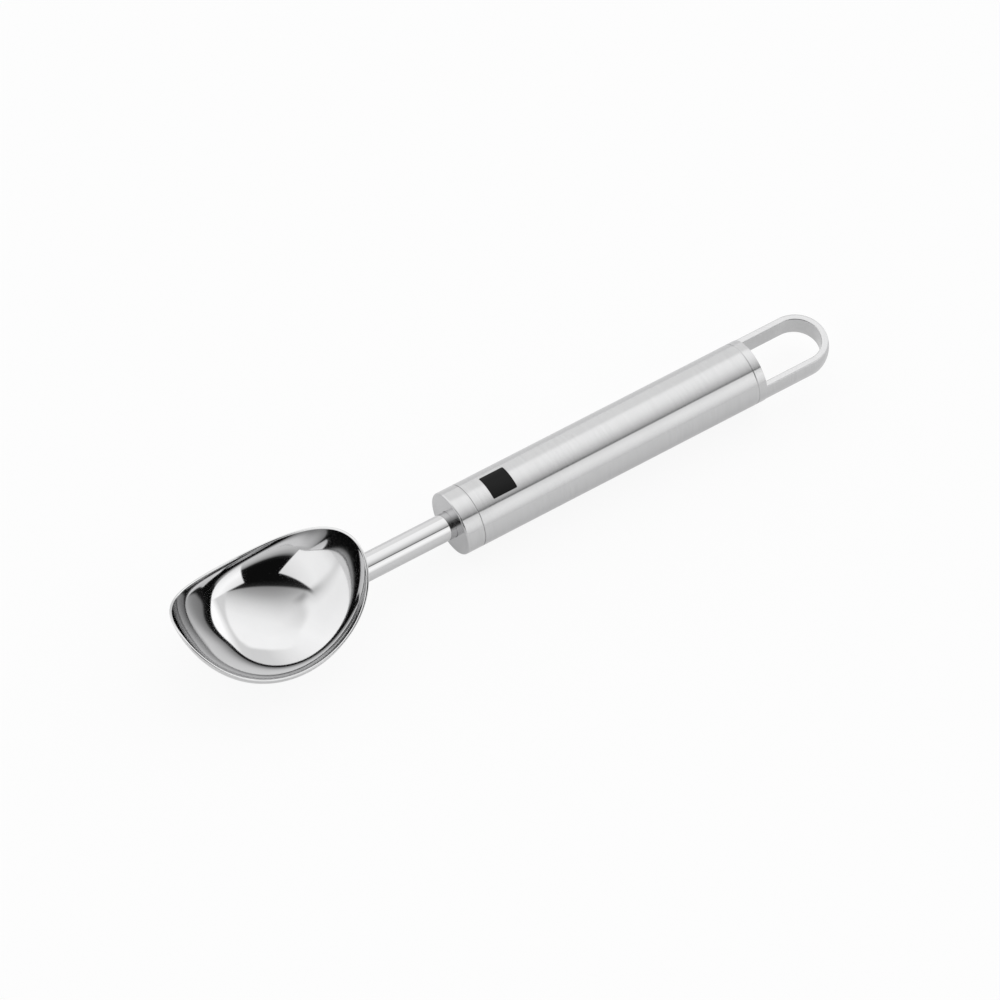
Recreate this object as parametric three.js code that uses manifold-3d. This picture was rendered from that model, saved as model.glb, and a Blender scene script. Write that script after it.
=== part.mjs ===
// Ice cream scoop: a polished sheet bowl with a dipping oval rim, a straight rod neck and a hollow round handle that
// ends in a hanging loop. Nothing on it moves: the pieces are pressed together and welded into one rigid tool.
//
// Millimetres, +Z up. +X runs along the handle from the bowl to the loop. The scoop lies mouth up on a flat surface,
// resting on the bowl and the handle, and the origin is on that surface below its middle.
import * as THREE from 'three';
import { mergeVertices } from 'three/addons/utils/BufferGeometryUtils.js';
import Module from 'manifold-3d';

// Handle
const HANDLE_DIAMETER = 19;
const TUBE_LENGTH = 92.3;
const TUBE_WALL = 1.2;
const FRONT_CAP_LENGTH = 5.6;
const END_RING_LENGTH = 2.6;
const CAP_EDGE_ROUNDING = 0.5;
const SPIGOT_LENGTH = 8;

// Hanging loop
const LOOP_LENGTH = 25.75;
const LOOP_HEIGHT = 6.4;
const LOOP_STRAP = 2.3;

// Neck
const ROD_DIAMETER = 7.9;
const TANG_LENGTH = 24;
const WELD_SIZE = 1.6;

// Bowl: its rim is an oval that lies on a ball, and its wall climbs from a rounded bottom to nearly upright at the rim
const BOWL_MIDDLE_AHEAD = 59.6;
const BOWL_WALL = 0.7;
const DEEPEST_POINT_AHEAD = 0.6;
const FLANK_FULLNESS = 0.05;
const BACK_FULLNESS = 0.29;
const WALL_ANGLE_AT_TIPS = THREE.MathUtils.degToRad(77.4);
const WALL_ANGLE_AT_SIDES = THREE.MathUtils.degToRad(87.8);
const SIDE_SHARPNESS = 6;
const RIM_BALL_RADIUS = 29.3;
const RIM_BALL_ABOVE_AXIS = 22.55;
const RIM_ANGLE_AT_TIPS = THREE.MathUtils.degToRad(75.2);
const RIM_ANGLE_AT_SIDES = THREE.MathUtils.degToRad(44.2);
const OVAL_FULLNESS = 0.028;
const OVAL_BROADENING = 0.016;

// Fits and fineness
const SEAT_GAP = 0.3;
const SEAM_WIDTH = 0.3;
const ROUND_SEGMENTS = 48;
const BOWL_SEGMENTS = 64;
const BOWL_RINGS = 12;
const CORNER_STEPS = 3;

const handleRadius = HANDLE_DIAMETER / 2;
const bowlBottom = BOWL_WALL - handleRadius;
const boreRadius = handleRadius - TUBE_WALL;
const rodRadius = ROD_DIAMETER / 2;
const tubeStart = FRONT_CAP_LENGTH + SEAM_WIDTH;
const tubeEnd = tubeStart + TUBE_LENGTH;
const ringStart = tubeEnd + SEAM_WIDTH;
const loopStart = ringStart + END_RING_LENGTH;
const spigotBack = tubeStart + SPIGOT_LENGTH;

const wasm = await Module();
wasm.setup();

const polishedSteel = { color: 0xd8d9da, roughness: 0.08, metalness: 1 };
const brushedSteel = { color: 0xbfc0c2, roughness: 0.34, metalness: 1 };
const weldSteel = { color: 0x9a9a98, roughness: 0.5, metalness: 1 };

function piece(name, geometry, finish) {
  const mesh = new THREE.Mesh(geometry, new THREE.MeshStandardMaterial(finish));
  mesh.name = name;
  return mesh;
}

// A solid of revolution about the handle's axis, from pairs of distance along the axis and radius
function turned(pairs) {
  const outline = pairs.map(([along, radius]) => new THREE.Vector2(radius, along));
  return new THREE.LatheGeometry(outline, ROUND_SEGMENTS).rotateZ(-Math.PI / 2);
}

// Pairs along a quarter of a circle, between two angles measured from the handle's axis
function corner(centreAlong, centreRadius, size, fromAngle, toAngle, steps) {
  return Array.from({ length: steps + 1 }, (_, step) => {
    const angle = THREE.MathUtils.lerp(fromAngle, toAngle, step / steps);
    return [centreAlong + size * Math.cos(angle), centreRadius + size * Math.sin(angle)];
  });
}

// A closed mesh as a solid that can be cut and joined
function toSolid(geometry) {
  const bare = geometry.clone();
  bare.deleteAttribute('normal');
  bare.deleteAttribute('uv');
  const merged = mergeVertices(bare, 1e-4);
  const corners = merged.index.array;
  const triVerts = [];
  for (let i = 0; i < corners.length; i += 3) {
    const [a, b, c] = [corners[i], corners[i + 1], corners[i + 2]];
    if (a !== b && b !== c && c !== a) {
      triVerts.push(a, b, c);
    }
  }
  return new wasm.Manifold(new wasm.Mesh({
    numProp: 3,
    vertProperties: merged.attributes.position.array,
    triVerts: Uint32Array.from(triVerts),
  }));
}

function toGeometry(solid) {
  const mesh = solid.getMesh();
  const geometry = new THREE.BufferGeometry();
  geometry.setAttribute('position', new THREE.BufferAttribute(mesh.vertProperties, 3));
  geometry.setIndex(new THREE.BufferAttribute(mesh.triVerts, 1));
  return geometry;
}

function cylinder(radius, from, to) {
  return toSolid(turned([[from, 0], [from, radius], [to, radius], [to, 0]]));
}

// The rim's oval, seen from above and grown by a margin, for each turn about the bowl's middle: turn 0 is at the handle
function ovalPoint(turn, margin) {
  const halfLength = RIM_BALL_RADIUS * Math.sin(RIM_ANGLE_AT_TIPS) + margin;
  const halfWidth = RIM_BALL_RADIUS * Math.sin(RIM_ANGLE_AT_SIDES) + margin;
  const fullness = (Math.sin(turn) + OVAL_FULLNESS * Math.sin(3 * turn)) / (1 - OVAL_FULLNESS);
  const broadening = 1 + OVAL_BROADENING * Math.cos(turn);
  return new THREE.Vector2(halfLength * Math.cos(turn), halfWidth * fullness * broadening);
}

function rimHeight(turn) {
  const belowCentre = Math.max(RIM_BALL_RADIUS ** 2 - ovalPoint(turn, 0).lengthSq(), 0);
  return RIM_BALL_ABOVE_AXIS - Math.sqrt(belowCentre);
}

// The bowl's inside, grown outwards by a margin: a point for each turn and each share of the way out to the rim. The
// wall is steepest at the sides, and it bulges most at the back, towards the handle
function bowlSkin(margin) {
  const deepest = new THREE.Vector2(-DEEPEST_POINT_AHEAD, 0);
  const cosineAtTips = Math.cos(WALL_ANGLE_AT_TIPS);
  const cosineAtSides = Math.cos(WALL_ANGLE_AT_SIDES);
  return (turn, reach) => {
    const plan = deepest.clone().lerp(ovalPoint(turn, margin), reach);
    const sideShare = Math.abs(Math.sin(turn)) ** SIDE_SHARPNESS;
    const backShare = Math.max(Math.cos(turn), 0) ** 2;
    const rimCosine = THREE.MathUtils.lerp(cosineAtTips, cosineAtSides, sideShare);
    const fullness = THREE.MathUtils.lerp(FLANK_FULLNESS, BACK_FULLNESS, backShare);
    const turnedUp = (1 + fullness) * reach ** 2 - fullness * reach ** 4;
    const wallCosine = Math.sqrt(1 - (1 - rimCosine ** 2) * turnedUp);
    const climb = (1 - wallCosine) / (1 - rimCosine);
    return new THREE.Vector3(plan.x, plan.y, THREE.MathUtils.lerp(bowlBottom - margin, rimHeight(turn), climb));
  };
}

// The closed body between two skins that meet round the rim: a flat disc with two faces is drawn out to them
function betweenSkins(lower, upper) {
  const UPPER = 1;
  const LOWER = 0;
  const rings = Array.from({ length: BOWL_RINGS + 1 }, (_, ring) => Math.sin(Math.PI / 2 * ring / BOWL_RINGS));
  const disc = [
    ...rings.map((radius) => new THREE.Vector2(radius, LOWER)),
    ...rings.toReversed().map((radius) => new THREE.Vector2(radius, UPPER)),
  ];
  const geometry = new THREE.LatheGeometry(disc, BOWL_SEGMENTS).rotateX(Math.PI / 2);
  const position = geometry.attributes.position;
  const point = new THREE.Vector3();
  for (let i = 0; i < position.count; i += 1) {
    point.fromBufferAttribute(position, i);
    const skin = point.z > (UPPER + LOWER) / 2 ? upper : lower;
    const reach = Math.min(Math.hypot(point.x, point.y), 1);
    position.setXYZ(i, ...skin(Math.atan2(point.y, point.x), reach).toArray());
  }
  return geometry.translate(-BOWL_MIDDLE_AHEAD, 0, 0);
}

function bowlGeometry() {
  return betweenSkins(bowlSkin(BOWL_WALL), bowlSkin(0));
}

// The bowl's outside, grown by a margin and filled to a flat lid above the rim
function filledBowl(margin) {
  const outside = bowlSkin(BOWL_WALL + margin);
  const lidHeight = rimHeight(0) + BOWL_WALL;
  const lid = (turn, reach) => outside(turn, reach).setZ(lidHeight);
  return toSolid(betweenSkins(outside, lid));
}

// The rod's front end is cut to the bowl's back, and its tang goes through the front cap into the handle
function neckGeometry() {
  return toGeometry(cylinder(rodRadius, -BOWL_MIDDLE_AHEAD, TANG_LENGTH).subtract(filledBowl(SEAT_GAP)));
}

// The bead between the rod and the bowl's back
function neckWeldGeometry() {
  const bead = cylinder(rodRadius + WELD_SIZE, -BOWL_MIDDLE_AHEAD, 0).intersect(filledBowl(WELD_SIZE));
  const seats = cylinder(rodRadius + SEAT_GAP, -BOWL_MIDDLE_AHEAD - BOWL_WALL, 0).add(filledBowl(SEAT_GAP));
  return toGeometry(bead.subtract(seats));
}

function frontCapGeometry() {
  const passage = rodRadius + SEAT_GAP;
  const spigot = boreRadius - SEAT_GAP;
  const edge = handleRadius - CAP_EDGE_ROUNDING;
  return turned([
    [0, passage],
    ...corner(CAP_EDGE_ROUNDING, edge, CAP_EDGE_ROUNDING, Math.PI, Math.PI / 2, CORNER_STEPS),
    [FRONT_CAP_LENGTH, handleRadius],
    [FRONT_CAP_LENGTH, spigot],
    [spigotBack, spigot],
    [spigotBack, passage],
    [0, passage],
  ]);
}

// The bead behind the front cap that keeps the tang from pulling out
function tangWeldGeometry() {
  const inside = rodRadius + SEAT_GAP;
  const start = spigotBack + SEAT_GAP;
  return turned([
    [start, inside],
    ...corner(start, inside, WELD_SIZE, Math.PI / 2, 0, CORNER_STEPS),
    [start, inside],
  ]);
}

function tubeGeometry() {
  return turned([
    [tubeStart, boreRadius],
    [tubeStart, handleRadius],
    [tubeEnd, handleRadius],
    [tubeEnd, boreRadius],
    [tubeStart, boreRadius],
  ]);
}

// A round-ended bar with flats milled above and below the loop, and a round-ended slot through it
function loopEndCapGeometry() {
  const spigot = boreRadius - SEAT_GAP;
  const ballEnd = loopStart + LOOP_LENGTH - handleRadius;
  const bar = toSolid(turned([
    [tubeEnd - SPIGOT_LENGTH, 0],
    [tubeEnd - SPIGOT_LENGTH, spigot],
    [ringStart, spigot],
    [ringStart, handleRadius],
    ...corner(ballEnd, 0, handleRadius, Math.PI / 2, 0, ROUND_SEGMENTS / 4),
  ]));
  const slotRadius = handleRadius - LOOP_STRAP;
  const slot = new THREE.Shape();
  slot.moveTo(loopStart, -slotRadius);
  slot.lineTo(ballEnd, -slotRadius);
  slot.absarc(ballEnd, 0, slotRadius, -Math.PI / 2, Math.PI / 2);
  slot.lineTo(loopStart, slotRadius);
  const slotDepth = HANDLE_DIAMETER + 2;
  const slotCutter = new THREE.ExtrudeGeometry(slot, {
    depth: slotDepth,
    bevelEnabled: false,
    curveSegments: ROUND_SEGMENTS / 2,
  }).translate(0, 0, -slotDepth / 2);
  const flatCutter = new THREE.BoxGeometry(2 * LOOP_LENGTH, 2 * HANDLE_DIAMETER, HANDLE_DIAMETER);
  const flatMiddle = (LOOP_HEIGHT + HANDLE_DIAMETER) / 2;
  const above = flatCutter.clone().translate(loopStart + LOOP_LENGTH, 0, flatMiddle);
  const below = flatCutter.clone().translate(loopStart + LOOP_LENGTH, 0, -flatMiddle);
  return toGeometry(bar.subtract(toSolid(above)).subtract(toSolid(below)).subtract(toSolid(slotCutter)));
}

const scoop = new THREE.Group();
scoop.add(
  piece('scoop_bowl', bowlGeometry(), polishedSteel),
  piece('neck_weld', neckWeldGeometry(), weldSteel),
  piece('neck_rod', neckGeometry(), polishedSteel),
  piece('front_cap', frontCapGeometry(), brushedSteel),
  piece('tang_weld', tangWeldGeometry(), weldSteel),
  piece('handle_tube', tubeGeometry(), brushedSteel),
  piece('loop_end_cap', loopEndCapGeometry(), brushedSteel),
);

// The scoop's lowest point goes to the ground and its middle over the origin
const extent = new THREE.Box3().setFromObject(scoop);
scoop.position.set(-(extent.min.x + extent.max.x) / 2, 0, -extent.min.z);
scoop.updateMatrixWorld(true);

export default scoop;
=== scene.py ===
"""The looks of the ice cream scoop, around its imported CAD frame: metres, +Z up, +X from bowl to loop."""

import math

import bmesh
import bpy
from mathutils import Matrix, Quaternion, Vector


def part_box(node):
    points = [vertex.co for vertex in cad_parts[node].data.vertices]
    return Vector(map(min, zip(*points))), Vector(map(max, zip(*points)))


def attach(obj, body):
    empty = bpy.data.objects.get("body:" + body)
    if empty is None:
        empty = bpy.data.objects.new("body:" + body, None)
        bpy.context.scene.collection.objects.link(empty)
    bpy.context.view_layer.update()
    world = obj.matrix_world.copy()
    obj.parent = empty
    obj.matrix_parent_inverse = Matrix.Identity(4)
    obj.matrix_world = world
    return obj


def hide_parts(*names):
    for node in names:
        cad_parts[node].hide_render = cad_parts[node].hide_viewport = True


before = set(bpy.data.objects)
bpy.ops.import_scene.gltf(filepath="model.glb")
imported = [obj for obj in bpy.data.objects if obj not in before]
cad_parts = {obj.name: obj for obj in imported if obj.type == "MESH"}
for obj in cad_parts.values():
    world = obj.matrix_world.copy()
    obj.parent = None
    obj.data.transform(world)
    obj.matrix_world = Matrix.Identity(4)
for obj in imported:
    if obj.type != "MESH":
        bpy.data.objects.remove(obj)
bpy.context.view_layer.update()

MM = 0.001
BODY = "root"
AXIS_X = Vector((1, 0, 0))
AXIS_Z = Vector((0, 0, 1))

# Places and sizes that the frame gives
bowl_low, bowl_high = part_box("scoop_bowl")
rod_low, rod_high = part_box("neck_rod")
cap_low, cap_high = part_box("front_cap")
tube_low, tube_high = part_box("handle_tube")
loop_low, loop_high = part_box("loop_end_cap")
HANDLE_RADIUS = (tube_high.y - tube_low.y) / 2
AXIS_HEIGHT = (tube_high.z + tube_low.z) / 2
ROD_RADIUS = (rod_high.y - rod_low.y) / 2

# Handle
TUBE_WALL = 1.2 * MM
FRONT_CAP_LENGTH = 5.6 * MM
END_RING_LENGTH = 2.6 * MM
SEAM_WIDTH = 0.3 * MM
SEAM_DEPTH = 0.15 * MM
SEAM_FLOOR_GAP = 0.02 * MM
SEAT_GAP = 0.3 * MM
PASSAGE_GAP = 0.08 * MM
CAP_EDGE_ROUNDING = 0.5 * MM
SEAM_EDGE_ROUNDING = 0.06 * MM

# Etched square on top of the handle
MARK_SIDE = 7.9 * MM
MARK_BEHIND_FACE = 15.6 * MM
MARK_CORNER = 0.4 * MM
MARK_EDGE_BLUR = 0.06 * MM

# Hanging loop
LOOP_HEIGHT = 6.4 * MM
LOOP_STRAP = 2.3 * MM
LOOP_EDGE_ROUNDING = 0.25 * MM

# Bowl
BOWL_WALL = 0.7 * MM
DEEPEST_POINT_AHEAD = 0.6 * MM
FLANK_FULLNESS = 0.05
BACK_FULLNESS = 0.29
WALL_ANGLE_AT_TIPS = math.radians(77.4)
WALL_ANGLE_AT_SIDES = math.radians(87.8)
SIDE_SHARPNESS = 6
RIM_BALL_RADIUS = 29.3 * MM
RIM_BALL_ABOVE_AXIS = 22.55 * MM
RIM_ANGLE_AT_TIPS = math.radians(75.2)
RIM_ANGLE_AT_SIDES = math.radians(44.2)
OVAL_FULLNESS = 0.028
OVAL_BROADENING = 0.016
LIP_ROUNDING = 0.33 * MM
BOWL_MIDDLE = (bowl_low.x + bowl_high.x) / 2
BOWL_BOTTOM = bowl_low.z + BOWL_WALL
WELD_LEG = 1.6 * MM

# Fineness of the meshes
SHARP_ANGLE = math.radians(35)
SAME_POINT = 1e-7
TURNED_STEPS = 192
BOWL_STEPS = 640
BOWL_RINGS = 48
WELD_STEPS = 96
WELD_RINGS = 8
TURN_TRIES = 16
LOOP_STEPS = 72
LOOP_ARC_STEPS = 20
LIP_SEGMENTS = 6
CAP_EDGE_SEGMENTS = 6
SEAM_EDGE_SEGMENTS = 3
ROD_END_SEGMENTS = 2
LOOP_EDGE_SEGMENTS = 3

# Camera, from the photograph's perspective
CAMERA_PLACE = Vector((-0.63155, -0.8388, 1.5586))
CAMERA_AIM = Vector((-0.00265, -0.0004, 0.0095))
CAMERA_ROLL = math.radians(4.6)
CAMERA_LENS = 240.6
CAMERA_SENSOR = 36
CAMERA_NEAR = 0.05
CAMERA_FAR = 20


# Mesh building

def new_piece(name, bm, node):
    """A finished bmesh as a smooth object that stands for a CAD node."""
    mesh = bpy.data.meshes.new(name)
    bm.to_mesh(mesh)
    bm.free()
    mesh.shade_smooth()
    mesh.set_sharp_from_angle(angle=SHARP_ANGLE)
    piece = bpy.data.objects.new(name, mesh)
    bpy.context.scene.collection.objects.link(piece)
    shading = piece.modifiers.new("even_shading", "WEIGHTED_NORMAL")
    shading.keep_sharp = True
    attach(piece, BODY)
    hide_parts(node)
    return piece


def only(kind, items):
    """The vertices or the faces among the things that an operator gives back."""
    return [item for item in items if isinstance(item, kind)]


def close_up(bm):
    """Merges the doubles that a spin leaves and turns the faces outwards."""
    bmesh.ops.remove_doubles(bm, verts=bm.verts, dist=SAME_POINT)
    bmesh.ops.recalc_face_normals(bm, faces=bm.faces)


def round_edges(bm, rounding, segments, chosen):
    """Rounds the sharp edges whose middle the test picks out."""
    edges = [
        edge for edge in bm.edges
        if edge.is_manifold
        and edge.calc_face_angle() > SHARP_ANGLE
        and chosen((edge.verts[0].co + edge.verts[1].co) / 2)
    ]
    bmesh.ops.bevel(
        bm, geom=edges, offset=rounding, segments=segments, profile=0.5,
        affect="EDGES", material=-1, clamp_overlap=True,
    )


def everywhere(middle):
    return True


def turned(pairs):
    """A closed outline of (place along the handle, radius) pairs, turned about the handle's axis."""
    bm = bmesh.new()
    corners = [bm.verts.new((along, 0, AXIS_HEIGHT + radius)) for along, radius in pairs]
    edges = [bm.edges.new(ends) for ends in zip(corners, corners[1:] + corners[:1])]
    bmesh.ops.spin(
        bm, geom=corners + edges, axis=AXIS_X, cent=(0, 0, AXIS_HEIGHT),
        angle=math.tau, steps=TURNED_STEPS, use_merge=True,
    )
    close_up(bm)
    return bm


def distance_from_axis(point):
    return math.hypot(point.y, point.z - AXIS_HEIGHT)


# Bowl

def oval_point(turn, margin):
    """The rim's oval seen from above, grown by a margin: turn 0 is at the handle."""
    half_length = RIM_BALL_RADIUS * math.sin(RIM_ANGLE_AT_TIPS) + margin
    half_width = RIM_BALL_RADIUS * math.sin(RIM_ANGLE_AT_SIDES) + margin
    fullness = (math.sin(turn) + OVAL_FULLNESS * math.sin(3 * turn)) / (1 - OVAL_FULLNESS)
    broadening = 1 + OVAL_BROADENING * math.cos(turn)
    return Vector((half_length * math.cos(turn), half_width * fullness * broadening))


def rim_height(turn):
    below_centre = math.sqrt(RIM_BALL_RADIUS ** 2 - oval_point(turn, 0).length_squared)
    return AXIS_HEIGHT + RIM_BALL_ABOVE_AXIS - below_centre


def rim_cosine(turn):
    """The cosine of the angle that the wall has reached at the rim: it is steepest at the sides."""
    tips = math.cos(WALL_ANGLE_AT_TIPS)
    sides = math.cos(WALL_ANGLE_AT_SIDES)
    return tips + (sides - tips) * abs(math.sin(turn)) ** SIDE_SHARPNESS


def wall_fullness(turn):
    """How much the wall bulges between the bottom and the rim: most at the back, towards the handle."""
    return FLANK_FULLNESS + (BACK_FULLNESS - FLANK_FULLNESS) * max(math.cos(turn), 0) ** 2


def bowl_point(turn, climb, margin):
    """A point of the bowl's inside, grown by a margin, at a share of the climb from bottom to rim."""
    wall_cosine = 1 - climb * (1 - rim_cosine(turn))
    steepness = (1 - wall_cosine ** 2) / (1 - rim_cosine(turn) ** 2)
    fullness = wall_fullness(turn)
    spread = math.sqrt((1 + fullness) ** 2 - 4 * fullness * steepness)
    reach = math.sqrt((1 + fullness - spread) / (2 * fullness))
    plan = Vector((-DEEPEST_POINT_AHEAD, 0)).lerp(oval_point(turn, margin), reach)
    bottom = BOWL_BOTTOM - margin
    return Vector((BOWL_MIDDLE + plan.x, plan.y, bottom + (rim_height(turn) - bottom) * climb))


def make_bowl():
    """A flat disc is spun and thickened, and then both of its faces are drawn out to the bowl's skins."""
    bm = bmesh.new()
    spoke = [bm.verts.new((ring / BOWL_RINGS, 0, 0)) for ring in range(BOWL_RINGS + 1)]
    edges = [bm.edges.new(ends) for ends in zip(spoke, spoke[1:])]
    bmesh.ops.spin(
        bm, geom=spoke + edges, axis=AXIS_Z, cent=(0, 0, 0),
        angle=math.tau, steps=BOWL_STEPS, use_merge=True,
    )
    same_place_on_disc = 1e-5
    bmesh.ops.remove_doubles(bm, verts=bm.verts, dist=same_place_on_disc)
    lower_face = bmesh.ops.extrude_face_region(bm, geom=bm.faces[:], use_keep_orig=True)["geom"]
    bmesh.ops.translate(bm, verts=only(bmesh.types.BMVert, lower_face), vec=-AXIS_Z)
    for vert in bm.verts:
        turn = math.atan2(vert.co.y, vert.co.x)
        cosine = rim_cosine(turn)
        wall_angle = math.hypot(vert.co.x, vert.co.y) * math.acos(cosine)
        climb = min((1 - math.cos(wall_angle)) / (1 - cosine), 1)
        vert.co = bowl_point(turn, climb, BOWL_WALL if vert.co.z < 0 else 0)
    close_up(bm)
    round_edges(bm, LIP_ROUNDING, LIP_SEGMENTS, everywhere)
    return new_piece("bowl", bm, "scoop_bowl")


# Neck

def bowl_back(across, above):
    """The bowl's outside, so far across and above the rod's axis, found by closing in on its turn."""
    bottom = BOWL_BOTTOM - BOWL_WALL
    half_width = oval_point(math.pi / 2, BOWL_WALL).y
    turn = 0
    for _ in range(TURN_TRIES):
        climb = (AXIS_HEIGHT + above - bottom) / (rim_height(turn) - bottom)
        point = bowl_point(turn, climb, BOWL_WALL)
        turn += (across - point.y) / half_width
    return point


def make_rod():
    """A disc at the rod's rear end, drawn forward until it meets the bowl's back."""
    bm = bmesh.new()
    upright = Matrix.Translation((rod_high.x, 0, AXIS_HEIGHT)) @ Matrix.Rotation(math.pi / 2, 4, "Y")
    bmesh.ops.create_circle(bm, cap_ends=True, radius=ROD_RADIUS, segments=WELD_STEPS, matrix=upright)
    drawn = bmesh.ops.extrude_face_region(bm, geom=bm.faces[:], use_keep_orig=True)["geom"]
    for vert in only(bmesh.types.BMVert, drawn):
        vert.co.x = bowl_back(vert.co.y, vert.co.z - AXIS_HEIGHT).x + SEAT_GAP
    close_up(bm)
    round_edges(bm, SEAM_EDGE_ROUNDING, ROD_END_SEGMENTS, lambda middle: middle.x > cap_high.x)
    return new_piece("rod", bm, "neck_rod")


def weld_corner(turn):
    """Where the rod's surface meets the bowl's back."""
    return bowl_back(ROD_RADIUS * math.cos(turn), ROD_RADIUS * math.sin(turn))


def weld_point(turn, share):
    """A point of the bead's hollow face, from the rod (share 0) to the bowl's back (share 1)."""
    corner = weld_corner(turn)
    foot = ROD_RADIUS + WELD_LEG
    on_rod = corner + AXIS_X * WELD_LEG
    on_bowl = bowl_back(foot * math.cos(turn), foot * math.sin(turn))
    return on_rod * (1 - share) ** 2 + corner * 2 * share * (1 - share) + on_bowl * share ** 2


def make_neck_weld():
    """Rings across the bead's hollow face and one in its corner, each bridged to the next."""
    bm = bmesh.new()
    turns = [math.tau * step / WELD_STEPS for step in range(WELD_STEPS)]
    shares = [ring / WELD_RINGS for ring in range(WELD_RINGS + 1)]
    rings = [[weld_point(turn, share) for turn in turns] for share in shares]
    rings.append([weld_corner(turn) for turn in turns])
    loops = []
    for ring in rings:
        circle = bmesh.ops.create_circle(bm, cap_ends=False, radius=ROD_RADIUS, segments=WELD_STEPS)["verts"]
        loops.append([edge for edge in bm.edges if edge.verts[0] in circle])
        for vert, point in zip(circle, ring):
            vert.co = point
    for loop, following in zip(loops, loops[1:] + loops[:1]):
        bmesh.ops.bridge_loops(bm, edges=loop + following)
    close_up(bm)
    return new_piece("neck_bead", bm, "neck_weld")


# Handle

def make_front_cap():
    face = cap_low.x
    shoulder = face + FRONT_CAP_LENGTH
    behind_face = face + 2 * CAP_EDGE_ROUNDING
    passage = ROD_RADIUS + PASSAGE_GAP
    spigot = HANDLE_RADIUS - TUBE_WALL - SEAT_GAP
    bm = turned([
        (face, passage),
        (face, HANDLE_RADIUS),
        (shoulder, HANDLE_RADIUS),
        (shoulder, HANDLE_RADIUS - SEAM_DEPTH),
        (tube_low.x - SEAM_FLOOR_GAP, HANDLE_RADIUS - SEAM_DEPTH),
        (tube_low.x - SEAM_FLOOR_GAP, spigot),
        (cap_high.x, spigot),
        (cap_high.x, passage),
    ])
    middle_radius = (passage + HANDLE_RADIUS) / 2
    round_edges(
        bm, CAP_EDGE_ROUNDING, CAP_EDGE_SEGMENTS,
        lambda middle: middle.x < behind_face and distance_from_axis(middle) > middle_radius,
    )
    round_edges(bm, SEAM_EDGE_ROUNDING, SEAM_EDGE_SEGMENTS, lambda middle: middle.x > behind_face)
    round_edges(
        bm, SEAM_EDGE_ROUNDING, SEAM_EDGE_SEGMENTS,
        lambda middle: distance_from_axis(middle) < middle_radius,
    )
    return new_piece("handle_front", bm, "front_cap")


def make_tube():
    bore = HANDLE_RADIUS - TUBE_WALL
    bm = turned([
        (tube_low.x, bore),
        (tube_low.x, HANDLE_RADIUS),
        (tube_high.x, HANDLE_RADIUS),
        (tube_high.x, bore),
    ])
    round_edges(bm, SEAM_EDGE_ROUNDING, SEAM_EDGE_SEGMENTS, everywhere)
    return new_piece("handle_sleeve", bm, "handle_tube")


def make_loop_cap():
    ring_start = tube_high.x + SEAM_WIDTH
    loop_start = ring_start + END_RING_LENGTH
    ball_end = loop_high.x - HANDLE_RADIUS
    spigot = HANDLE_RADIUS - TUBE_WALL - SEAT_GAP
    bm = turned([
        (loop_low.x, 0),
        (loop_low.x, spigot),
        (tube_high.x + SEAM_FLOOR_GAP, spigot),
        (tube_high.x + SEAM_FLOOR_GAP, HANDLE_RADIUS - SEAM_DEPTH),
        (ring_start, HANDLE_RADIUS - SEAM_DEPTH),
        (ring_start, HANDLE_RADIUS),
        (loop_start, HANDLE_RADIUS),
        (loop_start, 0),
    ])
    round_edges(bm, SEAM_EDGE_ROUNDING, SEAM_EDGE_SEGMENTS, everywhere)
    add_loop_strap(bm, loop_start - 2 * SEAM_EDGE_ROUNDING, ball_end)
    return new_piece("hanging_loop", bm, "loop_end_cap")


def strap_outline():
    """The strap's section as (across, above) pairs: round outside, flat inside, above and below."""
    half_height = LOOP_HEIGHT / 2
    inner = HANDLE_RADIUS - LOOP_STRAP
    reach = math.asin(half_height / HANDLE_RADIUS)
    angles = [reach * (2 * step / LOOP_ARC_STEPS - 1) for step in range(LOOP_ARC_STEPS + 1)]
    outside = [(HANDLE_RADIUS * math.cos(angle), HANDLE_RADIUS * math.sin(angle)) for angle in angles]
    return outside + [(inner, half_height), (inner, -half_height)]


def add_strap_section(bm, start):
    """The strap's section as a face with rounded corners."""
    before = set(bm.verts)
    section = bm.faces.new([
        bm.verts.new((start, across, AXIS_HEIGHT + above)) for across, above in strap_outline()
    ])
    corners = [
        vert for vert in section.verts
        if abs(abs(vert.co.z - AXIS_HEIGHT) - LOOP_HEIGHT / 2) < SAME_POINT
    ]
    bmesh.ops.bevel(
        bm, geom=corners, offset=LOOP_EDGE_ROUNDING, segments=LOOP_EDGE_SEGMENTS, profile=0.5,
        affect="VERTICES", material=-1,
    )
    return next(face for face in bm.faces if set(face.verts).isdisjoint(before) and len(face.verts) > 4)


def add_loop_strap(bm, start, ball_end):
    """The strap's section is drawn along one side, spun round the end and drawn back along the other."""
    section = add_strap_section(bm, start)
    drawn = bmesh.ops.extrude_face_region(bm, geom=[section], use_keep_orig=True)["geom"]
    leg_end = only(bmesh.types.BMVert, drawn)
    bmesh.ops.translate(bm, verts=leg_end, vec=AXIS_X * (ball_end - start))
    end_face = only(bmesh.types.BMFace, drawn)
    turned_end = bmesh.ops.spin(
        bm, geom=end_face, axis=AXIS_Z, cent=(ball_end, 0, 0), angle=-math.pi, steps=LOOP_STEPS,
    )["geom_last"]
    bmesh.ops.delete(bm, geom=end_face, context="FACES_ONLY")
    last_face = only(bmesh.types.BMFace, turned_end)
    returned = bmesh.ops.extrude_face_region(bm, geom=last_face)["geom"]
    leg_foot = only(bmesh.types.BMVert, returned)
    bmesh.ops.translate(bm, verts=leg_foot, vec=AXIS_X * (start - ball_end))
    close_up(bm)


# Shader building

TRACE_OF_BLUE = 1.005


def new_material(name):
    material = bpy.data.materials.new(name)
    material.use_nodes = True
    return material, material.node_tree, material.node_tree.nodes["Principled BSDF"]


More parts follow.
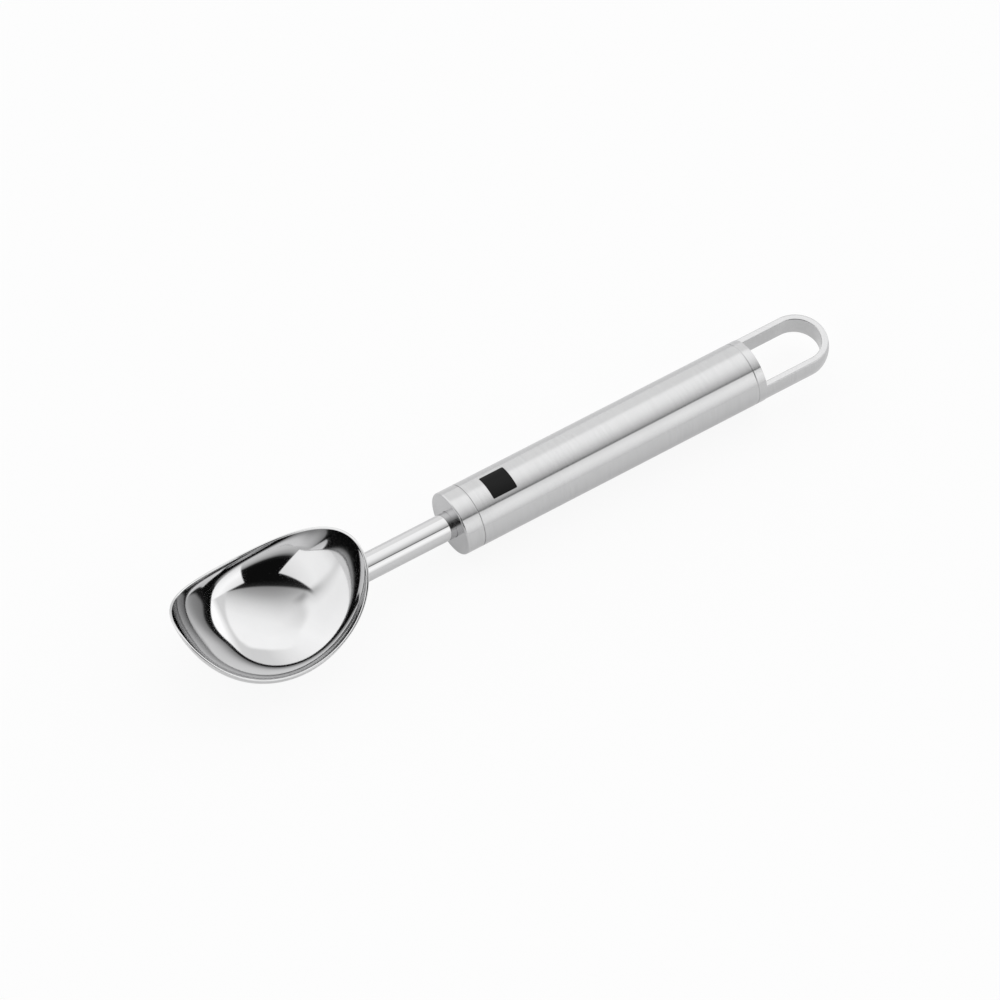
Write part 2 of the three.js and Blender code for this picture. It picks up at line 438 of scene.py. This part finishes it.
def node(tree, kind, **values):
    made = tree.nodes.new(kind)
    for key, value in values.items():
        setattr(made, key, value)
    return made


def feed(tree, socket, side):
    """Gives an input socket a number or a link."""
    if isinstance(side, (int, float)):
        socket.default_value = side
    else:
        tree.links.new(side, socket)


def maths(tree, operation, first, second=0.0):
    """A Math node; each side is a socket or a number."""
    made = node(tree, "ShaderNodeMath", operation=operation)
    feed(tree, made.inputs[0], first)
    feed(tree, made.inputs[1], second)
    return made.outputs[0]


def length(tree, first, second):
    """The length of a vector with two parts."""
    first_square = maths(tree, "MULTIPLY", first, first)
    second_square = maths(tree, "MULTIPLY", second, second)
    return maths(tree, "SQRT", maths(tree, "ADD", first_square, second_square))


def remap(tree, value, low, high, new_low=0.0, new_high=1.0, smooth=True):
    made = node(tree, "ShaderNodeMapRange", interpolation_type="SMOOTHSTEP" if smooth else "LINEAR")
    tree.links.new(value, made.inputs["Value"])
    for name, number in (("From Min", low), ("From Max", high), ("To Min", new_low), ("To Max", new_high)):
        made.inputs[name].default_value = number
    return made.outputs["Result"]


def object_place(tree):
    return node(tree, "ShaderNodeTexCoord").outputs["Object"]


def place_parts(tree):
    """The X, Y and Z of a point of the piece."""
    parts = node(tree, "ShaderNodeSeparateXYZ")
    tree.links.new(object_place(tree), parts.inputs[0])
    return parts.outputs["X"], parts.outputs["Y"], parts.outputs["Z"]


def noise(tree, place, scale, detail, roughness=0.5):
    made = node(tree, "ShaderNodeTexNoise")
    made.inputs["Scale"].default_value = scale
    made.inputs["Detail"].default_value = detail
    made.inputs["Roughness"].default_value = roughness
    tree.links.new(place, made.inputs["Vector"])
    return made.outputs["Fac"]


def tone_between(tree, share, from_level, to_level):
    """A grey that goes from one level to another by a share."""
    made = node(tree, "ShaderNodeMix", data_type="RGBA")
    made.inputs["A"].default_value = grey(from_level)
    made.inputs["B"].default_value = grey(to_level)
    tree.links.new(share, made.inputs["Factor"])
    return made.outputs["Result"]


def add_relief(tree, shader, height, strength, distance):
    relief = node(tree, "ShaderNodeBump")
    relief.inputs["Strength"].default_value = strength
    relief.inputs["Distance"].default_value = distance
    tree.links.new(height, relief.inputs["Height"])
    tree.links.new(relief.outputs[0], shader.inputs["Normal"])


def grey(level):
    """A grey with the trace of blue that stainless steel has."""
    return (level, level, level * TRACE_OF_BLUE, 1)


# Brushed steel

HANDLE_LEVEL = 0.585
HANDLE_ROUGHNESS = 0.2
GRAIN_FINENESS = 3000
GRAIN_ALONG_GIRTH = 160
GRAIN_RANGE = (0.3, 0.7)
GRAIN_TONE = 0.022
GRAIN_ROUGHNESS = 0.02
GRAIN_RELIEF = 0.08
GRAIN_DEPTH = 0.02 * MM
GLOSS_STRETCH = 0.95
QUARTER_TURN = 0.25
BLOTCH_SCALE = 70
BLOTCH_RANGE = (0.35, 0.65)
BLOTCH_ROUGHNESS = 0.012
# Painted shade: the share of the grey kept on the cap's front face, standing in for the shadowed floor that
# it mirrors
FRONT_FACE_SHADE = 0.92
FRONT_FACE_FULL = 0.1 * MM
FRONT_FACE_NONE = 0.3 * MM
MARK_LEVEL = 0.018
MARK_ADDED_ROUGHNESS = 0.2


def build_turning_marks():
    """Fine marks left round the handle by the brush: they follow the girth, and circles on flat faces."""
    group = bpy.data.node_groups.new("turning_marks", "ShaderNodeTree")
    sockets = group.interface
    fineness = sockets.new_socket("Fineness", in_out="INPUT", socket_type="NodeSocketFloat")
    fineness.default_value = GRAIN_FINENESS
    sockets.new_socket("Marks", in_out="OUTPUT", socket_type="NodeSocketFloat")
    sockets.new_socket("Blotches", in_out="OUTPUT", socket_type="NodeSocketFloat")
    start = group.nodes.new("NodeGroupInput")
    end = group.nodes.new("NodeGroupOutput")
    along, across, height = place_parts(group)
    above = maths(group, "SUBTRACT", height, AXIS_HEIGHT)
    out_and_along = maths(group, "ADD", along, length(group, across, above))
    streaks = node(group, "ShaderNodeCombineXYZ")
    feed(group, streaks.inputs["X"], maths(group, "MULTIPLY", out_and_along, start.outputs["Fineness"]))
    feed(group, streaks.inputs["Y"], maths(group, "MULTIPLY", across, GRAIN_ALONG_GIRTH))
    feed(group, streaks.inputs["Z"], maths(group, "MULTIPLY", above, GRAIN_ALONG_GIRTH))
    marks = noise(group, streaks.outputs[0], scale=1, detail=3, roughness=0.65)
    blotches = noise(group, object_place(group), scale=BLOTCH_SCALE, detail=2)
    group.links.new(marks, end.inputs["Marks"])
    group.links.new(blotches, end.inputs["Blotches"])
    return group


def add_brushed_finish(tree, shader, marks_group):
    """Grain, roughness and a fine relief from the turning marks, and a gloss spread along the handle."""
    marks = node(tree, "ShaderNodeGroup", node_tree=marks_group)
    marks.inputs["Fineness"].default_value = GRAIN_FINENESS
    grain = remap(tree, marks.outputs["Marks"], *GRAIN_RANGE, smooth=False)
    tone = tone_between(tree, grain, HANDLE_LEVEL - GRAIN_TONE, HANDLE_LEVEL + GRAIN_TONE)
    smoothest = HANDLE_ROUGHNESS - GRAIN_ROUGHNESS
    roughest = HANDLE_ROUGHNESS + GRAIN_ROUGHNESS
    grain_rough = remap(tree, grain, 0, 1, smoothest, roughest, smooth=False)
    blotch_rough = remap(
        tree, marks.outputs["Blotches"], *BLOTCH_RANGE,
        -BLOTCH_ROUGHNESS, BLOTCH_ROUGHNESS, smooth=False,
    )
    rough = maths(tree, "ADD", grain_rough, blotch_rough)
    tree.links.new(rough, shader.inputs["Roughness"])
    add_relief(tree, shader, grain, GRAIN_RELIEF, GRAIN_DEPTH)
    girth = node(tree, "ShaderNodeTangent", direction_type="RADIAL", axis="X")
    tree.links.new(girth.outputs[0], shader.inputs["Tangent"])
    shader.inputs["Metallic"].default_value = 1
    shader.inputs["Anisotropic"].default_value = GLOSS_STRETCH
    shader.inputs["Anisotropic Rotation"].default_value = QUARTER_TURN
    return tone, rough


def satin_steel(marks_group):
    """The turned ends' finish, with painted shade that makes the cap's front face a little darker, standing
    in for the shadowed floor that the face mirrors.
    """
    material, tree, shader = new_material("satin_steel")
    tone, _ = add_brushed_finish(tree, shader, marks_group)
    along, _, _ = place_parts(tree)
    # Painted shade on the cap's front face, which mirrors the shadowed floor before it
    on_front_face = remap(tree, along, cap_low.x + FRONT_FACE_NONE, cap_low.x + FRONT_FACE_FULL)
    front_face = node(tree, "ShaderNodeMix", data_type="RGBA", blend_type="MULTIPLY")
    front_face.inputs["B"].default_value = grey(FRONT_FACE_SHADE)
    tree.links.new(on_front_face, front_face.inputs["Factor"])
    tree.links.new(tone, front_face.inputs["A"])
    tree.links.new(front_face.outputs["Result"], shader.inputs["Base Color"])
    return material


def etched_square(tree):
    """A mask of the square with rounded corners on top of the handle, near its front."""
    along, across, height = place_parts(tree)
    straight = MARK_SIDE / 2 - MARK_CORNER
    outside = []
    for side in (maths(tree, "SUBTRACT", along, cap_low.x + MARK_BEHIND_FACE), across):
        past = maths(tree, "SUBTRACT", maths(tree, "ABSOLUTE", side), straight)
        outside.append(maths(tree, "MAXIMUM", past, 0))
    inside = remap(tree, length(tree, *outside), MARK_CORNER + MARK_EDGE_BLUR, MARK_CORNER - MARK_EDGE_BLUR)
    on_top = remap(tree, height, AXIS_HEIGHT, AXIS_HEIGHT + MM)
    return maths(tree, "MULTIPLY", inside, on_top)


def brushed_steel_with_mark(marks_group):
    """The tube's finish, with a plain dark etched square."""
    material, tree, shader = new_material("brushed_steel")
    tone, rough = add_brushed_finish(tree, shader, marks_group)
    mark = etched_square(tree)
    etched = node(tree, "ShaderNodeMix", data_type="RGBA")
    etched.inputs["B"].default_value = grey(MARK_LEVEL)
    tree.links.new(mark, etched.inputs["Factor"])
    tree.links.new(tone, etched.inputs["A"])
    tree.links.new(etched.outputs["Result"], shader.inputs["Base Color"])
    matt = maths(tree, "ADD", rough, maths(tree, "MULTIPLY", mark, MARK_ADDED_ROUGHNESS))
    tree.links.new(matt, shader.inputs["Roughness"])
    return material


# Polished steel

BOWL_LEVEL = 0.64
BOWL_ROUGHNESS = 0.065
ROD_LEVEL = 0.635
ROD_ROUGHNESS = 0.05
WELD_LEVEL = 0.47
WELD_ROUGHNESS = 0.3
HAZE_SCALE = 90
HAZE_RANGE = (0.3, 0.7)
HAZE_LIFT = 0.01
HAZE_DROP = 0.015
HAZE_SPREAD = 0.3
WAVE_SCALE = 60
WAVE_RELIEF = 0.05
WAVE_DEPTH = 0.2 * MM
EVEN = (1, 1, 1)
DRAWN_OUT = (0.3, 4, 4)
FINE = (3, 3, 3)


def build_polish():
    """What is left on polished steel: faint wipe marks and a slight waviness."""
    group = bpy.data.node_groups.new("polish", "ShaderNodeTree")
    sockets = group.interface
    sockets.new_socket("Place", in_out="INPUT", socket_type="NodeSocketVector")
    sockets.new_socket("Haze", in_out="OUTPUT", socket_type="NodeSocketFloat")
    sockets.new_socket("Waves", in_out="OUTPUT", socket_type="NodeSocketFloat")
    place = group.nodes.new("NodeGroupInput").outputs["Place"]
    end = group.nodes.new("NodeGroupOutput")
    haze = noise(group, place, scale=HAZE_SCALE, detail=5, roughness=0.6)
    waves = noise(group, place, scale=WAVE_SCALE, detail=1)
    group.links.new(haze, end.inputs["Haze"])
    group.links.new(waves, end.inputs["Waves"])
    return group


def polished_steel(name, polish_group, level, roughness, stretch):
    """Steel of a level and a roughness, with the polish's marks stretched along the axes."""
    material, tree, shader = new_material(name)
    mapping = node(tree, "ShaderNodeMapping")
    mapping.inputs["Scale"].default_value = stretch
    tree.links.new(object_place(tree), mapping.inputs["Vector"])
    polish = node(tree, "ShaderNodeGroup", node_tree=polish_group)
    tree.links.new(mapping.outputs[0], polish.inputs["Place"])
    haze = remap(tree, polish.outputs["Haze"], *HAZE_RANGE, smooth=False)
    tone = tone_between(tree, haze, level + HAZE_LIFT, level - HAZE_DROP)
    tree.links.new(tone, shader.inputs["Base Color"])
    smoothest = roughness * (1 - HAZE_SPREAD)
    roughest = roughness * (1 + HAZE_SPREAD)
    tree.links.new(remap(tree, haze, 0, 1, smoothest, roughest, smooth=False), shader.inputs["Roughness"])
    add_relief(tree, shader, polish.outputs["Waves"], WAVE_RELIEF, WAVE_DEPTH)
    shader.inputs["Metallic"].default_value = 1
    return material


# Studio: a white tent seen from the scoop, as a brightness for each direction

STUDIO_STRENGTH = 1.44
CRISP_EDGE = 0.012
BLURRED_EDGE = 0.024
SOFT_EDGE = 0.04
FORWARD = (1, 0, 0)
UPWARD = (0, 0, 1)
SEAM_FACING = (0.407, 0.904, -0.134)
MOUTH_FACING = (0.434, 0.677, 0.595)
ROOF_SLOPE = (0.602, 0.799, 0)
CREASE_WIDTH = 0.07

# Edges as (facing, reach, softness): inside is further towards the facing than the reach
LEFT_CARD_EDGES = [
    ((-0.544, -0.402, -0.737), -0.111, CRISP_EDGE),
    ((-0.330, 0.927, 0.178), 0.052, CRISP_EDGE),
]
RIGHT_CARD_EDGES = [
    ((0.990, 0.092, -0.105), 0, CRISP_EDGE),
    ((-0.046, -0.815, -0.578), 0.026, BLURRED_EDGE),
]
ROOF_EDGES = [
    ((0.418, -0.906, 0.061), -0.617, SOFT_EDGE),
    ((-0.392, -0.802, 0.450), -0.371, SOFT_EDGE),
    ((-0.673, 0.211, 0.709), 0, SOFT_EDGE),
]

# Stops as (place, level) pairs: walls and crease go forward, cards and opening upward, the roof by its slope
WALL_STOPS = [
    (-0.8, 0.88), (-0.3, 0.97), (0.0, 0.93), (0.25, 0.82),
    (0.45, 0.67), (0.65, 0.65), (0.76, 0.68), (0.84, 1.07),
]
OPENING_STOPS = [(0.0, 0.62), (0.2, 0.5), (0.32, 0.33), (0.36, 0.2), (0.42, 0.012), (0.5, 0.004)]
LEFT_CARD_STOPS = [(0.0, 0.75), (0.15, 0.88), (0.4, 0.9), (0.58, 0.82), (0.72, 0.74)]
RIGHT_CARD_STOPS = [
    (0.0, 0.62), (0.1, 0.72), (0.25, 0.88), (0.42, 1.0),
    (0.52, 1.03), (0.63, 0.93), (0.75, 0.82),
]
ROOF_STOPS = [
    (-0.45, 0.19), (-0.30, 0.29), (-0.19, 0.38), (-0.10, 0.50),
    (0.02, 0.66), (0.15, 0.79), (0.30, 0.90), (0.55, 0.96),
]
MOUTH_STOPS = [(0.14, 0.0), (0.25, 0.05), (0.285, 1.0)]
CREASE_STOPS = [(-1.0, 0.06), (-0.85, 0.12), (-0.70, 0.38), (-0.62, 0.28), (-0.5, 0.0)]


def dot(tree, direction, vector):
    made = node(tree, "ShaderNodeVectorMath", operation="DOT_PRODUCT")
    tree.links.new(direction, made.inputs[0])
    made.inputs[1].default_value = vector
    return made.outputs["Value"]


def over(tree, below, above, share):
    """One brightness laid over another by a mask."""
    made = node(tree, "ShaderNodeMix", data_type="FLOAT")
    tree.links.new(share, made.inputs["Factor"])
    tree.links.new(below, made.inputs["A"])
    tree.links.new(above, made.inputs["B"])
    return made.outputs["Result"]


def ramp(tree, value, low, high, stops):
    """The level at a place between stops, joined by straight lines; all the stops lie in the range."""
    made = node(tree, "ShaderNodeValToRGB")
    tree.links.new(remap(tree, value, low, high, smooth=False), made.inputs["Fac"])
    elements = made.color_ramp.elements
    while len(elements) < len(stops):
        elements.new(0.5)
    for element, (place, level) in zip(elements, stops):
        element.position = (place - low) / (high - low)
        element.color = (level, level, level, 1)
    return made.outputs["Color"]


def beyond(tree, direction, facing, reach, softness):
    """A mask of the directions that lie further towards a facing than a reach, with a soft edge."""
    return remap(tree, dot(tree, direction, facing), reach - softness, reach + softness)


def both(tree, first, second):
    return maths(tree, "MULTIPLY", first, second)


def opposite(tree, share):
    return maths(tree, "SUBTRACT", 1, share)


def within(tree, direction, edges):
    """A mask of the directions that lie inside all the edges."""
    mask = beyond(tree, direction, *edges[0])
    for edge in edges[1:]:
        mask = both(tree, mask, beyond(tree, direction, *edge))
    return mask


def crease_shade(tree, direction):
    """How much the crease along the tent's seam darkens it."""
    off_seam = maths(tree, "ABSOLUTE", dot(tree, direction, SEAM_FACING))
    shade = ramp(tree, dot(tree, direction, FORWARD), -1, 1, CREASE_STOPS)
    return both(tree, remap(tree, off_seam, 0, CREASE_WIDTH, 1, 0), shade)


def studio_brightness(tree, direction):
    """A tent with a lit roof and a card at each side of the camera, dark where it opens towards it."""
    height = dot(tree, direction, UPWARD)
    walls = ramp(tree, dot(tree, direction, FORWARD), -1, 1, WALL_STOPS)
    roof = ramp(tree, dot(tree, direction, ROOF_SLOPE), -0.5, 1, ROOF_STOPS)
    opening = ramp(tree, height, 0, 1, OPENING_STOPS)
    left_card = ramp(tree, height, 0, 1, LEFT_CARD_STOPS)
    right_card = ramp(tree, height, 0, 1, RIGHT_CARD_STOPS)
    beyond_seam = beyond(tree, direction, SEAM_FACING, 0, SOFT_EDGE)
    past_mouth = ramp(tree, dot(tree, direction, MOUTH_FACING), 0, 1, MOUTH_STOPS)
    inside_tent = maths(tree, "MAXIMUM", past_mouth, beyond_seam)
    on_left_card = both(tree, within(tree, direction, LEFT_CARD_EDGES), opposite(tree, beyond_seam))
    level = over(tree, walls, roof, within(tree, direction, ROOF_EDGES))
    level = over(tree, opening, level, inside_tent)
    level = over(tree, level, left_card, on_left_card)
    level = over(tree, level, right_card, within(tree, direction, RIGHT_CARD_EDGES))
    return both(tree, level, opposite(tree, crease_shade(tree, direction)))


def make_world():
    world = bpy.data.worlds.new("studio")
    world.use_nodes = True
    bpy.context.scene.world = world
    tree = world.node_tree
    background = tree.nodes["Background"]
    direction = node(tree, "ShaderNodeTexCoord").outputs["Generated"]
    tree.links.new(studio_brightness(tree, direction), background.inputs["Color"])
    background.inputs["Strength"].default_value = STUDIO_STRENGTH


# Floor and camera

FLOOR_RADIUS = 3
FLOOR_STEPS = 96
FLOOR_LEVEL = 0.9
FLOOR_ROUGHNESS = 0.9
FLOOR_LIFT_SEEN = 0.9
FLOOR_LIFT_MIRRORED = 0.4


def pale_floor():
    """A pale matt floor that looks almost white to the camera and keeps a trace of the scoop's shadow."""
    material, tree, shader = new_material("pale_floor")
    shader.inputs["Base Color"].default_value = grey(FLOOR_LEVEL)
    shader.inputs["Roughness"].default_value = FLOOR_ROUGHNESS
    shader.inputs["Specular IOR Level"].default_value = 0
    white = node(tree, "ShaderNodeEmission")
    white.inputs["Strength"].default_value = 1
    path = node(tree, "ShaderNodeLightPath")
    seen = maths(tree, "ADD", path.outputs["Is Camera Ray"], path.outputs["Is Transmission Ray"])
    seen_lift = maths(tree, "MULTIPLY", seen, FLOOR_LIFT_SEEN)
    mirrored_lift = maths(tree, "MULTIPLY", path.outputs["Is Glossy Ray"], FLOOR_LIFT_MIRRORED)
    mix = node(tree, "ShaderNodeMixShader")
    tree.links.new(maths(tree, "ADD", seen_lift, mirrored_lift), mix.inputs["Fac"])
    tree.links.new(shader.outputs[0], mix.inputs[1])
    tree.links.new(white.outputs[0], mix.inputs[2])
    tree.links.new(mix.outputs[0], tree.nodes["Material Output"].inputs["Surface"])
    return material


def make_floor():
    bm = bmesh.new()
    bmesh.ops.create_circle(bm, cap_ends=True, radius=FLOOR_RADIUS, segments=FLOOR_STEPS)
    mesh = bpy.data.meshes.new("floor")
    bm.to_mesh(mesh)
    bm.free()
    mesh.materials.append(pale_floor())
    floor = bpy.data.objects.new("floor", mesh)
    bpy.context.scene.collection.objects.link(floor)


def make_camera():
    data = bpy.data.cameras.new("camera")
    data.lens = CAMERA_LENS
    data.sensor_width = CAMERA_SENSOR
    data.clip_start = CAMERA_NEAR
    data.clip_end = CAMERA_FAR
    camera = bpy.data.objects.new("camera", data)
    bpy.context.scene.collection.objects.link(camera)
    camera.location = CAMERA_PLACE
    camera.rotation_mode = "QUATERNION"
    looking = (CAMERA_AIM - CAMERA_PLACE).to_track_quat("-Z", "Y")
    camera.rotation_quaternion = looking @ Quaternion(AXIS_Z, CAMERA_ROLL)
    bpy.context.scene.camera = camera


# The scoop

turning_marks = build_turning_marks()
polish = build_polish()
bowl_finish = polished_steel("polished_steel", polish, BOWL_LEVEL, BOWL_ROUGHNESS, EVEN)
rod_finish = polished_steel("polished_rod", polish, ROD_LEVEL, ROD_ROUGHNESS, DRAWN_OUT)
weld_finish = polished_steel("weld_steel", polish, WELD_LEVEL, WELD_ROUGHNESS, FINE)
satin_finish = satin_steel(turning_marks)
brushed_finish = brushed_steel_with_mark(turning_marks)

make_bowl().data.materials.append(bowl_finish)
make_rod().data.materials.append(rod_finish)
make_neck_weld().data.materials.append(weld_finish)
make_front_cap().data.materials.append(satin_finish)
make_tube().data.materials.append(brushed_finish)
make_loop_cap().data.materials.append(satin_finish)
hidden_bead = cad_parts["tang_weld"]
hidden_bead.data.materials.clear()
hidden_bead.data.materials.append(weld_finish)

make_world()
make_floor()
make_camera()
bpy.context.scene.view_settings.view_transform = "Standard"
